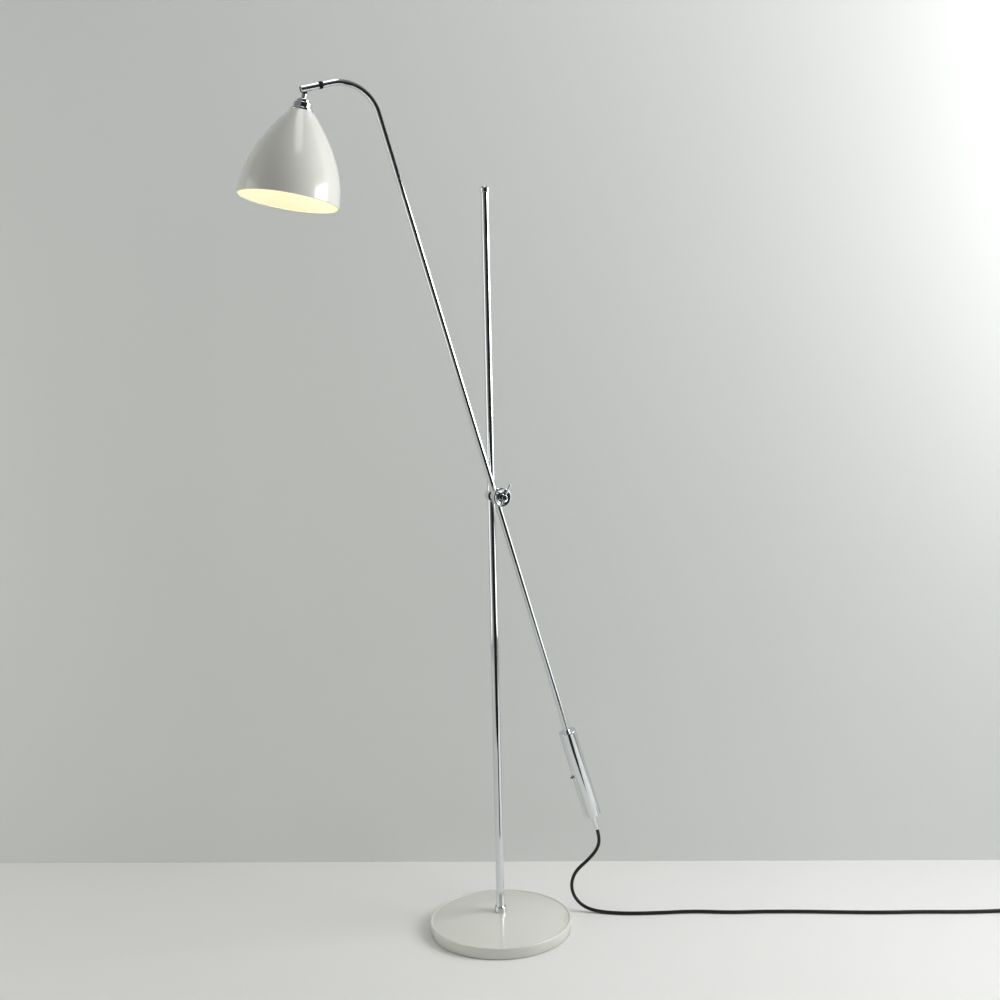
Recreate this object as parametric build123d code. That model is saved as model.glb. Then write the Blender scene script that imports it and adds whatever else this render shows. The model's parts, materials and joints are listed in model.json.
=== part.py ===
from build123d import *
import math
import os

# Adjustable arm floor lamp. Millimetres, +Z up, origin at the centre of the base's
# underside. The head reaches towards -X and the counterweight towards +X. The clamp's
# axis lies along Y, with its knob on the -Y side of the stem.

# ---------------------------------------------------------------- driving dimensions
BASE_R = 112.5            # round base
BASE_EDGE_H = 17.8        # height of the rolled edge bead
BASE_BEAD_R = 1.9
BASE_GROOVE = 1.1         # depth of the faint groove inside the bead
BASE_DOME_H = 28.0        # height of the cover at the stem
BASE_SAG = 3.05           # how far the dome has fallen halfway out
COVER_T = 2.0
COVER_LIFT = 0.8          # the cover's edge above the floor
STUD_HOLE_R = 5.2
COLLAR_R = 9.7
COLLAR_H = 8.6
STEM_D = 13.0
STEM_WALL = 1.25
STEM_TOP = 1174.0         # where the tube ends and the cap sits
PIVOT_Z = 695.0           # height of the clamp's axis as it stands
ARM_Y = -15.0             # the arm's plane, in front of the stem
ARM_TILT = 17.0           # degrees from upright
ARM_D = 10.0
ARM_WALL = 1.0
BEND_START = 616.0        # from the clamp's axis to the gooseneck, along the arm
BEND_R = 60.0
END_DROP = 15.0           # degrees the arm's end points below level
END_STRAIGHT = 15.6
LOCK_RING_L = 6.0
KNUCKLE_D = 10.5
PIN_AT = 26.9             # from the arm's end to the knuckle's pin
WEIGHT_START = 408.0      # from the clamp's axis to the counterweight, along the arm
WEIGHT_L = 150.0
WEIGHT_D = 28.0
OUTLET_L = 27.0
SHADE_TILT = 10.4         # degrees the shade leans outwards
SHADE_TOP = 35.0          # from the knuckle's pin to the shade's top, along its axis
SHADE_L = 135.0
SHADE_R = 75.5
SHADE_T = 1.0
HOLDER_HOLE_R = 12.9      # the hole in the shade's top that the lampholder passes through
CORD_D = 5.5
LOCK_RING_R = 5.6
BULB_R = 25.0
BULB_AT = 103.0           # from the knuckle's pin to the globe's middle
FIT = 0.05                # radial clearance of a running fit

BARREL_R = 8.5            # the clamp's barrel and the arm's eye
BUSH_T = 0.55
SWITCH_AT = 484.0         # from the clamp's axis to the switch, along the arm
SWITCH_PIVOT = 9.0        # the lever's pivot, from the counterweight's axis
SWITCH_REACH = 3.8        # the lever's tip, proud of the counterweight
KNOB_R = 15.0
KNOB_BACK, KNOB_FACE, KNOB_TIP = 33.0, 40.5, 49.5    # from the stem's axis, along Y
BAR_R = 1.35
BAR_L = 34.5
BAR_OFFSET = 5.25         # the bar's middle, from the knob's axis
BAR_AT = 46.0
BAR_LEAN = 29.0
STOP_R = 1.95
STOP_HALF = 1.1

os.makedirs("parts", exist_ok=True)
nodes = {}


# ---------------------------------------------------------------- shaping helpers
def turned(*points):
    """A solid of revolution about Z from a closed outline of (radius, height) points."""
    return revolve(Plane.XZ * make_face(Polyline(*points, close=True)), Axis.Z)


def turned_edges(*edges):
    """A solid of revolution about Z from joined edges drawn as (radius, height)."""
    return revolve(Plane.XZ * make_face(Wire(edges)), Axis.Z)


def rod(radius, low, high):
    """A round bar about Z from one height to another."""
    return Pos(0, 0, (low + high) / 2) * Cylinder(radius, high - low)


def tube(outer, inner, low, high):
    """A round tube about Z from one height to another."""
    return turned((inner, low), (outer, low), (outer, high), (inner, high))


def eased(solid, size, *heights):
    """The solid with its outermost round edges at the given heights rounded."""
    picked = []
    for height in heights:
        level = [e for e in solid.edges().filter_by(GeomType.CIRCLE)
                 if abs(e.arc_center.Z - height) < 0.01]
        picked.append(max(level, key=lambda e: e.radius))
    return fillet(picked, size)


def along(length_from_pivot):
    """A point on the arm's straight axis, positive towards the head."""
    turn = math.radians(ARM_TILT)
    return Vector(-math.sin(turn), 0, math.cos(turn)) * length_from_pivot + PIVOT


PIVOT = Vector(0, ARM_Y, PIVOT_Z)
ARM = Location((0, ARM_Y, PIVOT_Z), (0, -ARM_TILT, 0))     # local +Z runs up the arm
CLAMP = Location((0, 0, PIVOT_Z), (90, 0, 0))              # local +Z runs towards -Y


# ---------------------------------------------------------------- base and stem
def base():
    rim = BASE_R - BASE_BEAD_R
    middle = BASE_EDGE_H - BASE_BEAD_R
    groove = BASE_EDGE_H - BASE_GROOVE
    foot = rim - math.sqrt(BASE_BEAD_R ** 2 - (groove - middle) ** 2)
    dome_edge = foot - 1.0
    halfway = dome_edge * 0.52
    t = COVER_T
    outside = [
        Line((BASE_R, COVER_LIFT), (BASE_R, middle)),
        ThreePointArc((BASE_R, middle), (rim, BASE_EDGE_H), (foot, groove)),
        Line((foot, groove), (dome_edge, groove)),
        ThreePointArc(
            (dome_edge, groove), (halfway, BASE_DOME_H - BASE_SAG), (STUD_HOLE_R, BASE_DOME_H)),
        Line((STUD_HOLE_R, BASE_DOME_H), (STUD_HOLE_R, BASE_DOME_H - t)),
        ThreePointArc(
            (STUD_HOLE_R, BASE_DOME_H - t),
            (halfway, BASE_DOME_H - t - BASE_SAG - 0.1),
            (dome_edge - t, groove - t),
        ),
        Line((dome_edge - t, groove - t), (BASE_R - t, groove - t)),
        Line((BASE_R - t, groove - t), (BASE_R - t, COVER_LIFT)),
        Line((BASE_R - t, COVER_LIFT), (BASE_R, COVER_LIFT)),
    ]
    nodes["base_cover"] = turned_edges(*outside)

    edge = BASE_R - t - 1.5
    low, top = 2.0, groove - t - 0.3
    recess_r, recess_top = 15.5, 11.0
    hole = STUD_HOLE_R + 0.2
    nodes["base_weight"] = turned_edges(
        Line((recess_r, low), (edge, low)),
        Line((edge, low), (edge, top)),
        Line((edge, top), (dome_edge - t, top)),
        ThreePointArc(
            (dome_edge - t, top),
            (halfway, BASE_DOME_H - t - BASE_SAG - 0.6),
            (hole, BASE_DOME_H - t - 0.4),
        ),
        Line((hole, BASE_DOME_H - t - 0.4), (hole, recess_top)),
        Line((hole, recess_top), (recess_r, recess_top)),
        Line((recess_r, recess_top), (recess_r, low)),
    )
    nodes["base_pad"] = tube(BASE_R - t - COVER_LIFT, 17.0, 0, low)
    nodes["stud_washer"] = tube(13.5, 5.3, recess_top - 1.8, recess_top)
    nut = extrude(RegularPolygon(9.2, 6), 6.0) - rod(5.0, -1, 7)
    nodes["stud_nut"] = Pos(0, 0, recess_top - 7.8) * nut


def stem():
    inner = STEM_D / 2 - STEM_WALL
    foot = BASE_DOME_H
    nodes["stem_stud"] = turned(
        (0, 3.4), (4.9, 3.4), (4.9, foot), (inner, foot),
        (inner, foot + 34), (inner - 1.5, foot + 36), (0, foot + 36),
    )
    nodes["stem_tube"] = tube(STEM_D / 2, inner, foot, STEM_TOP)
    collar_top = foot + COLLAR_H
    collar = tube(COLLAR_R, STEM_D / 2, foot + 0.02, collar_top)
    nodes["stem_collar"] = eased(collar, 2.8, collar_top)
    cap_top = STEM_TOP + 10.2
    cap = turned(
        (0, STEM_TOP - 14), (inner, STEM_TOP - 14), (inner, STEM_TOP), (8.3, STEM_TOP),
        (8.3, cap_top), (0, cap_top),
    )
    nodes["stem_cap"] = fillet(
        [e for e in cap.edges().filter_by(GeomType.CIRCLE)
         if e.radius > 8.2 and e.arc_center.Z > STEM_TOP + 1], 4.6)


# ---------------------------------------------------------------- clamp
def clamp():
    """The barrel grips the stem and the eye grips the arm. One screw pushes the arm
    against the shoe, and the shoe against the stem, so it locks both."""
    stem_r = STEM_D / 2
    bush_r = stem_r + FIT + BUSH_T
    nodes["stem_bush"] = Pos(0, 0, PIVOT_Z) * tube(bush_r, stem_r + FIT, -7.2, 7.2)

    front = 8.3
    barrel = CLAMP * turned(
        (0, -10.6), (4.6, -10.6), (BARREL_R, -7.2), (BARREL_R, front), (0, front))
    barrel -= Pos(0, 0, PIVOT_Z) * Cylinder(bush_r + FIT, 30)
    barrel -= CLAMP * rod(3.9, 0, front + 1)
    nodes["clamp_barrel"] = barrel
    nodes["clamp_shoe"] = CLAMP * rod(3.85, bush_r + 0.1, -ARM_Y - ARM_D / 2 - 1.1)
    nodes["swivel_ring"] = CLAMP * tube(10.2, BARREL_R + FIT, stem_r + 0.3, -ARM_Y - ARM_D / 2 - 0.3)

    arm_r = ARM_D / 2
    arm_bush_r = arm_r + FIT + BUSH_T
    nodes["arm_bush"] = ARM * tube(arm_bush_r, arm_r + FIT, -7.2, 7.2)
    eye = CLAMP * turned(
        (0, front + 0.1), (BARREL_R, front + 0.1), (BARREL_R, 21.6), (7.2, 23.2),
        (7.2, 25.6), (0, 25.6))
    eye -= ARM * Cylinder(arm_bush_r + FIT, 40)
    eye -= CLAMP * rod(3.0 + FIT, 15, 27)
    eye -= CLAMP * rod(3.9, front, 11)
    nodes["arm_eye"] = eye

    nodes["clamp_screw"] = CLAMP * rod(3.0, -ARM_Y + arm_bush_r + 0.1, 40.0)
    back, face, tip = KNOB_BACK, KNOB_FACE, KNOB_TIP
    knob = CLAMP * turned(
        (0, 26.0), (5.6, 26.0), (5.6, 30.0), (8.0, back), (KNOB_R - 1.2, back),
        (KNOB_R, back + 1.2), (KNOB_R, face - 1.0), (KNOB_R - 1.0, face),
        (KNOB_R - 2.2, face), (7.5, face - 2.6), (4.6, face - 2.6), (4.6, tip - 0.8),
        (3.8, tip), (0, tip))
    knob -= CLAMP * rod(3.0, 25, 40.0)
    bar = Location((0, -BAR_AT, PIVOT_Z), (0, BAR_LEAN, 0))
    knob -= bar * Cylinder(BAR_R + FIT, 40)
    nodes["clamp_knob"] = knob
    nodes["tommy_bar"] = bar * Pos(0, 0, BAR_OFFSET) * Cylinder(BAR_R, BAR_L)
    stop = turned((BAR_R, -STOP_HALF), (STOP_R, -STOP_HALF), (STOP_R, STOP_HALF), (BAR_R, STOP_HALF))
    reach = BAR_L / 2 - STOP_HALF
    nodes["bar_stops"] = bar * (
        Pos(0, 0, BAR_OFFSET + reach) * stop + Pos(0, 0, BAR_OFFSET - reach) * stop)


# ---------------------------------------------------------------- arm and counterweight
def arm_path(start, end_trim):
    """The arm's centreline: straight, round the gooseneck, then its short end."""
    tilt, drop = math.radians(ARM_TILT), math.radians(END_DROP)
    whole = math.pi / 2 - tilt + drop
    bend_from = along(BEND_START)
    middle = bend_from + Vector(-math.cos(tilt), 0, -math.sin(tilt)) * BEND_R

    def on_bend(turn):
        return middle + Vector(math.cos(tilt + turn), 0, math.sin(tilt + turn)) * BEND_R

    bend_to = on_bend(whole)
    last = bend_to + Vector(-math.cos(drop), 0, -math.sin(drop)) * (END_STRAIGHT - end_trim)
    bend = ThreePointArc(bend_from, on_bend(whole / 2), bend_to)
    return Wire([Line(along(start), bend_from), bend, Line(bend_to, last)]), last


def swept(radius, path):
    """A round bar along a path."""
    start = Plane(origin=path @ 0, z_dir=path % 0)
    return sweep(start * Circle(radius), path=path)


def arm():
    path, end = arm_path(-WEIGHT_START - 32, 0)
    bore, _ = arm_path(-WEIGHT_START - 33, -1)
    nodes["arm_tube"] = swept(ARM_D / 2, path) - swept(ARM_D / 2 - ARM_WALL, bore)
    flex, _ = arm_path(-WEIGHT_START - 40, 2)
    nodes["arm_flex"] = swept(1.4, flex)
    return end


def counterweight():
    """Local +Z runs up the arm, so the counterweight lies below zero."""
    top, low = -WEIGHT_START, -WEIGHT_START - WEIGHT_L
    r = WEIGHT_D / 2
    body = turned((0, low), (r, low), (r, top), (0, top))
    body = chamfer([e for e in body.edges().filter_by(GeomType.CIRCLE)], 0.8)
    body -= rod(ARM_D / 2, top - 34, top + 1)
    body -= rod(9.0, low + 6, top - 34)
    body -= rod(11.0, low - 1, low + 6)
    switch_z = -SWITCH_AT
    side = Location((0, 0, switch_z), (0, -90, 0))          # local +Z points outwards
    body -= side * rod(3.6, 0, r + 2)
    screw_z = top - 12
    body -= Location((0, 0, screw_z), (90, 0, 0)) * rod(2.0, ARM_D / 2, r + 1)
    nodes["counterweight"] = ARM * body
    screw = Location((0, 0, screw_z), (90, 0, 0)) * (
        rod(2.0, ARM_D / 2 + 0.02, r - 1.5)
        - extrude(Pos(0, 0, r - 3.5) * RegularPolygon(1.1, 6), 3))
    nodes["weight_screw"] = ARM * screw
    nodes["weight_end_plug"] = ARM * tube(11.0, 4.3, low, low + 6)
    outlet_low = low - OUTLET_L
    lead_r = CORD_D / 2
    nodes["cord_outlet"] = ARM * turned(
        (lead_r, outlet_low), (3.6, outlet_low), (4.3, outlet_low + 1.2), (4.3, low + 10),
        (lead_r, low + 10))
    nodes["cord_inside"] = ARM * rod(lead_r, outlet_low, low + 14)
    nodes["outlet_nut"] = ARM * (
        Pos(0, 0, low + 6) * extrude(RegularPolygon(7.0, 6), 3.5) - rod(4.3, low + 5, low + 11))
    nodes["switch_body"] = ARM * side * Pos(0, 0, 0.5) * Box(9.0, 12.0, 9.0)
    nodes["switch_nut"] = ARM * side * turned(
        (1.7, 5.0), (3.6, 5.0), (3.6, r), (4.6, r), (4.6, r + 1.2), (2.7, r + 1.2))
    lever_tip = r + SWITCH_REACH
    nodes["switch_lever"] = ARM * side * (
        Pos(0, 0, SWITCH_PIVOT) * Sphere(1.6) + rod(0.9, SWITCH_PIVOT, lever_tip)
        + Pos(0, 0, lever_tip) * Sphere(1.25))


# ---------------------------------------------------------------- knuckle and head
def head(end):
    knuckle = Location((end.X, end.Y, end.Z), (0, -90 - END_DROP, 0))  # +Z outwards
    ring = tube(LOCK_RING_R, ARM_D / 2 - ARM_WALL, 0, LOCK_RING_L)
    for step in range(18):
        ring -= Rot(0, 0, step * 20) * Pos(LOCK_RING_R + 0.15, 0, 3.0) * Cylinder(0.4, 8)
    nodes["lock_ring"] = knuckle * ring
    nodes["arm_spigot"] = knuckle * turned(
        (1.6, -14.0), (4.0, -14.0), (4.0, LOCK_RING_L), (3.6, LOCK_RING_L), (3.6, 14.0), (1.6, 14.0))
    r = KNUCKLE_D / 2
    low, high = LOCK_RING_L + 0.2, LOCK_RING_L + 28.6
    housing = turned((0, low), (r, low), (r, high - 1), (r - 1.0, high), (0, high))
    housing -= rod(3.6 + FIT, low - 1, 14.5)
    housing -= rod(2.0, 14, 20)
    slot_start = PIN_AT - 8.4
    housing -= Pos(-r, 0, (slot_start + high + 1) / 2) * Box(
        2 * (r + 3.9), 4.0, high + 1 - slot_start)
    across = Location((0, 0, PIN_AT), (90, 0, 0))
    housing -= across * Cylinder(1.5, 20)
    nodes["knuckle_housing"] = knuckle * housing
    nodes["knuckle_pin"] = knuckle * (across * Cylinder(1.5, KNUCKLE_D - 1.0))
    pin = knuckle * Pos(0, 0, PIN_AT)
    place = Location((pin.position.X, pin.position.Y, pin.position.Z), (0, SHADE_TILT, 0))

    blade = extrude(Plane.XZ * (SlotCenterPoint((0, -5.0), (0, 0), 7.0)), 1.8, both=True)
    neck = blade + rod(4.0, -17.0, -9.0) + rod(3.0, -22.0, -17.0)
    neck -= Rot(90, 0, 0) * Cylinder(1.5 + FIT, 10)
    nodes["neck"] = place * neck
    nodes["holder_cap"] = place * turned(
        (3.0, -17.0), (8.5, -17.0), (10.2, -18.7), (10.2, -22.4), (14.2, -22.8),
        (14.2, -33.4), (12.6, -33.4), (12.6, -27.4), (3.0, -27.4))
    top = -SHADE_TOP
    nodes["shade_collar"] = place * tube(17.6, 14.25, top, top + 3.4)
    nodes["holder_body"] = place * tube(12.6, 10.6, -66.0, -27.4)
    nodes["holder_insulator"] = place * turned(
        (0, -44.0), (10.55, -44.0), (10.55, -27.4), (0, -27.4))
    nodes["shade_ring"] = place * tube(15.6, 12.65, top - 7.2, top - SHADE_T)
    shell(place, top)
    bulb(place)


def shade_outline(inset):
    """The bell's outline as (radius, depth below its top), drawn in by inset."""
    shape = [(17.6, 0), (36.6, 24.0), (54.3, 53.0), (67.8, 86.0), (SHADE_R, SHADE_L)]
    return [(r - inset, -SHADE_TOP - depth) for r, depth in shape]


def shell(place, top):
    outer, inner = shade_outline(0), shade_outline(SHADE_T)
    inner[0] = (inner[0][0], top - SHADE_T)
    edges = [
        Line((HOLDER_HOLE_R, top), outer[0]),
        Spline(*outer, tangents=[(0.85, -0.75), (0.03, -1)]),
        Line(outer[-1], inner[-1]),
        Spline(*reversed(inner), tangents=[(-0.03, 1), (-0.85, 0.75)]),
        Line(inner[0], (HOLDER_HOLE_R, top - SHADE_T)),
        Line((HOLDER_HOLE_R, top - SHADE_T), (HOLDER_HOLE_R, top)),
    ]
    nodes["shade"] = place * turned_edges(*edges)


def bulb(place):
    cap_low = -72.0
    nodes["bulb_cap"] = place * turned(
        (0, -45.0), (4.5, -45.0), (10.2, -49.0), (10.2, cap_low), (0, cap_low))
    globe = place * (Pos(0, 0, -BULB_AT) * Sphere(BULB_R) + turned(
        (0, cap_low), (10.0, cap_low), (13.5, -84.0), (0, -84.0)))
    nodes["bulb_glass"] = globe


# ---------------------------------------------------------------- lead
# The route's points lie on a line down the middle of the lead. It leaves the outlet
# along its axis, hangs in an S, and lies on the floor.
LEAD_Z = CORD_D / 2
OUTLET_END = along(-WEIGHT_START - WEIGHT_L - OUTLET_L)
LEAD_ROUTE = [
    (OUTLET_END.X, OUTLET_END.Y, OUTLET_END.Z),
    (175.7, -15.0, 120.3),
    (172.5, -14.0, 102.5),
    (157.0, -8.0, 84.0),
    (138.0, 0.5, 67.0),
    (130.5, 4.0, 46.0),
    (134.0, 2.0, 25.0),
    (146.0, -6.0, 9.0),
    (163.0, -23.0, LEAD_Z),
    (198.0, -51.0, LEAD_Z),
    (248.0, -75.0, LEAD_Z),
    (303.0, -97.0, LEAD_Z),
    (350.0, -128.0, LEAD_Z),
    (404.0, -153.0, LEAD_Z),
    (457.0, -182.0, LEAD_Z),
    (511.0, -214.0, LEAD_Z),
    (567.0, -246.0, LEAD_Z),
    (623.0, -273.0, LEAD_Z),
    (675.0, -302.0, LEAD_Z),
    (720.0, -323.5, LEAD_Z),
    (757.0, -341.0, LEAD_Z + 1.2),
]
COIL_MIDDLE = (793.0, -393.5)
COIL_OUT_R, COIL_IN_R = 36.0, 25.0
COIL_LOW = 1.2            # the tie's strap runs underneath


def radii_of(points):
    """Each corner's radius: 0.45 of the shorter run over the tangent of half the turn."""
    found = []
    for a, b, c in zip(points, points[1:], points[2:]):
        before, after = Vector(*b) - Vector(*a), Vector(*c) - Vector(*b)
        half = math.radians(before.get_angle(after) / 2)
        found.append(0.45 * min(before.length, after.length) / math.tan(half))
    return found


def lead_tube(points):
    radii = radii_of(points)
    print("lead radii", [round(r, 1) for r in radii])
    path = FilletPolyline(*points, radius=radii)
    solid = swept(CORD_D / 2, path)
    expected = math.pi * (CORD_D / 2) ** 2 * path.length
    print("lead length", round(path.length, 1), "volume ratio", round(solid.volume / expected, 4))
    return solid


def lead():
    cx, cy = COIL_MIDDLE
    last = Vector(*LEAD_ROUTE[-1])
    # the lead meets the coil's outer turn where its line is a tangent
    to_middle = Vector(cx - last.X, cy - last.Y, 0)
    reach = math.sqrt(to_middle.length ** 2 - COIL_OUT_R ** 2)
    lean = math.degrees(math.asin(COIL_OUT_R / to_middle.length))
    heading = to_middle.normalized().rotate(Axis.Z, lean)
    touch = last + heading * reach
    stub = 20.6
    meet = touch - heading * stub
    print("coil touch", touch, "heading", heading)
    nodes["cord_lead"] = lead_tube(LEAD_ROUTE + [(meet.X, meet.Y, meet.Z)])

    r = CORD_D / 2
    low, high = COIL_LOW, COIL_LOW + 2 * CORD_D
    ring = tube(COIL_OUT_R + r, COIL_IN_R - r, low, high)
    ring = fillet(ring.edges().filter_by(GeomType.CIRCLE), 2.0)
    ring = Pos(cx, cy, 0) * ring
    entry = Plane(origin=meet, z_dir=heading) * Circle(r)
    ring += extrude(entry, stub)
    leave = Vector(touch.X, touch.Y, COIL_LOW + 1.5 * CORD_D)
    tail_start = leave + heading * stub
    ring += extrude(Plane(origin=leave, z_dir=heading) * Circle(r), stub)
    nodes["cord_coil"] = ring

    side = heading.rotate(Axis.Z, -90)
    tie_angle = math.degrees(math.atan2(side.Y, side.X))
    middle_r = (COIL_OUT_R + COIL_IN_R) / 2
    width, tall = COIL_OUT_R - COIL_IN_R + CORD_D, 2 * CORD_D
    band = Box(width + 2.0, 6.0, tall + 2.0) - Box(width + 0.6, 7.0, tall + 0.6)
    knot = Pos(0, 0, tall / 2 + 1.9) * Box(5.0, 9.0, 1.8)
    nodes["coil_tie"] = Pos(cx, cy, low + tall / 2) * Rot(0, 0, tie_angle) * (
        Pos(middle_r, 0, 0) * (band + knot))
    plug(tail_start, heading)


def plug(start, heading):
    """A flat two-pin plug lies on the floor. Its tail comes off the coil's upper turn."""
    r = CORD_D / 2
    thick = 13.6
    drop = Vector(0, 0, thick / 2 - start.Z)
    end = start + heading * 48 + drop
    path = FilletPolyline(start, start + heading * 15, end - heading * 15, end, radius=70)
    nodes["cord_tail"] = swept(r, path)
    level = Vector(heading.X, heading.Y, 0).normalized()
    angle = math.degrees(math.atan2(level.Y, level.X))
    place = Location((end.X, end.Y, end.Z), (0, 0, angle))
    forward = Rot(0, 90, 0)
    relief = forward * turned((0, 0), (3.1, 0), (4.6, 22.0), (0, 22.0))
    nodes["plug_relief"] = place * relief
    outline = Polyline((22.0, -7.0), (30.0, -14.5), (44.0, -17.6), (56.0, -17.6),
                       (56.0, 17.6), (44.0, 17.6), (30.0, 14.5), (22.0, 7.0), close=True)
    body = Pos(0, 0, -thick / 2) * extrude(make_face(outline), thick)
    body = fillet(body.edges().filter_by(Axis.Z), 1.5)
    pins = [Pos(0, s * 9.3, 0) * forward for s in (-1, 1)]
    for pin in pins:
        body -= pin * rod(2.4, 48, 57)
    nodes["plug_body"] = place * body
    nodes["plug_pins"] = place * Compound([pin * rod(2.4, 48, 75) for pin in pins])


base()
stem()
clamp()
arm_end = arm()
counterweight()
head(arm_end)
lead()

for name, shape in nodes.items():
    export_step(shape, f"parts/{name}.step")
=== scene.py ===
import json
import math

import bpy
import numpy as np
from mathutils import Matrix, Vector


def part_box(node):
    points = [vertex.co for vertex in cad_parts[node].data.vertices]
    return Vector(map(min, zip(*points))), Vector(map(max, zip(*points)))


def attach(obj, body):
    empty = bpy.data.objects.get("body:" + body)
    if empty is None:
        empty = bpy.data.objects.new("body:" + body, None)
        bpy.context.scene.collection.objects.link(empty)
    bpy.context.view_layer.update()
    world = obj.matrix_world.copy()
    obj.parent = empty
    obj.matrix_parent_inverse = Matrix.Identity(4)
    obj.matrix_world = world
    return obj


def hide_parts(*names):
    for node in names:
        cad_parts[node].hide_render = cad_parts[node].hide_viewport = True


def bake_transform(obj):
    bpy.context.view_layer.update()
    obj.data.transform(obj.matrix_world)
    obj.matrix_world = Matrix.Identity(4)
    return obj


bl_info = {
    "name": "Adjustable arm floor lamp",
    "version": (1, 0, 0),
    "blender": (4, 5, 0),
    "location": "3D View > Sidebar > Floor lamp",
    "description": "Builds a floor lamp with a sliding, tilting arm and a bell shade",
    "category": "Object",
}

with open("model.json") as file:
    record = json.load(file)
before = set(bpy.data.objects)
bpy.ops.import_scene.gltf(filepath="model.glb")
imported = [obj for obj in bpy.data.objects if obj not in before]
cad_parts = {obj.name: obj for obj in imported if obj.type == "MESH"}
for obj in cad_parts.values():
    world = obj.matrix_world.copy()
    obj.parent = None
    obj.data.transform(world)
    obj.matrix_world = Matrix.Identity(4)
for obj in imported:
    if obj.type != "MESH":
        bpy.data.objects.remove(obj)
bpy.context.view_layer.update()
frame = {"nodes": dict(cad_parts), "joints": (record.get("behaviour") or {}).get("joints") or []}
NODES = frame["nodes"]
JOINTS = {joint["name"]: joint for joint in frame["joints"]}

# ------------------------------------------------------------------ driving sizes
# Metres. Joint places and the heights of CAD nodes come from the frame.
MM = 0.001
EDGE = 0.25 * MM          # the least rounding of a turned corner
BASE_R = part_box("base_cover")[1][0]
BASE_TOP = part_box("base_cover")[1][2]
STEM_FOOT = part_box("stem_tube")[0][2]
STEM_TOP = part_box("stem_tube")[1][2]
STEM_R = 6.5 * MM
STEM_BORE = 5.25 * MM
PIVOT = Vector(JOINTS["arm_tilt"]["pos_m"])
ARM_UP = Vector(JOINTS["arm_slide"]["axis"]).normalized()
ARM_END = Vector(JOINTS["head_roll"]["pos_m"])
KNUCKLE_OUT = Vector(JOINTS["head_roll"]["axis"]).normalized()
PIN = Vector(JOINTS["head_tilt"]["pos_m"])
KNOB_R = 15.0 * MM
KNOB_BACK = 33.0 * MM     # the disc's back, its face and the boss's end, from the stem's
KNOB_FACE = 40.5 * MM     # axis along the clamp's
KNOB_TIP = 49.5 * MM
BAR_R = 1.35 * MM         # the tommy bar, and the stops near its two ends
BAR_STOP_R = 1.95 * MM
ARM_R = 5.0 * MM
BEND_START = 616 * MM     # from the clamp's axis to the gooseneck, along the arm
BEND_R = 60 * MM
END_STRAIGHT = 15.6 * MM
WEIGHT_START = 408 * MM   # from the clamp's axis to the counterweight
WEIGHT_L = 150 * MM
WEIGHT_R = 14 * MM
OUTLET_L = 27 * MM
SWITCH_AT = 484 * MM
SHADE_TILT = math.radians(10.4)
SHADE_TOP = 35 * MM       # from the knuckle's pin to the shade's top
SHADE_L = 135 * MM
SHADE_WALL = 1.0 * MM
BULB_MIDDLE = -103.0 * MM  # the globe's centre, along the head's axis from the pin
BULB_R = 25.0 * MM
LEAD_D = 5.5 * MM
LEAD_R = LEAD_D / 2


# ------------------------------------------------------------------ surfaces
NEARLY_ALONG = 0.99       # past this cosine, side is too near to up to be used


def place(origin, up, side=(0, 1, 0)):
    """A frame at origin whose third axis is up and whose second lies nearest to side."""
    z = Vector(up).normalized()
    side = Vector(side)
    if abs(side.dot(z)) > NEARLY_ALONG:
        side = Vector((1, 0, 0))
    x = side.cross(z).normalized()
    y = z.cross(x)
    turn = Matrix((x, y, z)).transposed().to_4x4()
    return Matrix.Translation(Vector(origin)) @ turn


UPRIGHT = Matrix.Identity(4)
ARM = place(PIVOT, ARM_UP)
CLAMP = place((0, 0, PIVOT.z), (0, -1, 0), (0, 0, 1))
KNUCKLE = place(ARM_END, KNUCKLE_OUT)
HEAD = place(PIN, (math.sin(SHADE_TILT), 0, math.cos(SHADE_TILT)))


def moved(points, where):
    """The points (..., 3) carried into the row frame by a placing matrix."""
    m = np.array(where)
    return points @ m[:3, :3].T + m[:3, 3]


POLE_SIZE = 1e-9          # metres; a row smaller than this is a pole
UV_LENGTH = 0.1           # metres along a piece for one unit of v
CLOSING_V = 0.1           # v across the row that closes a looped piece


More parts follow.
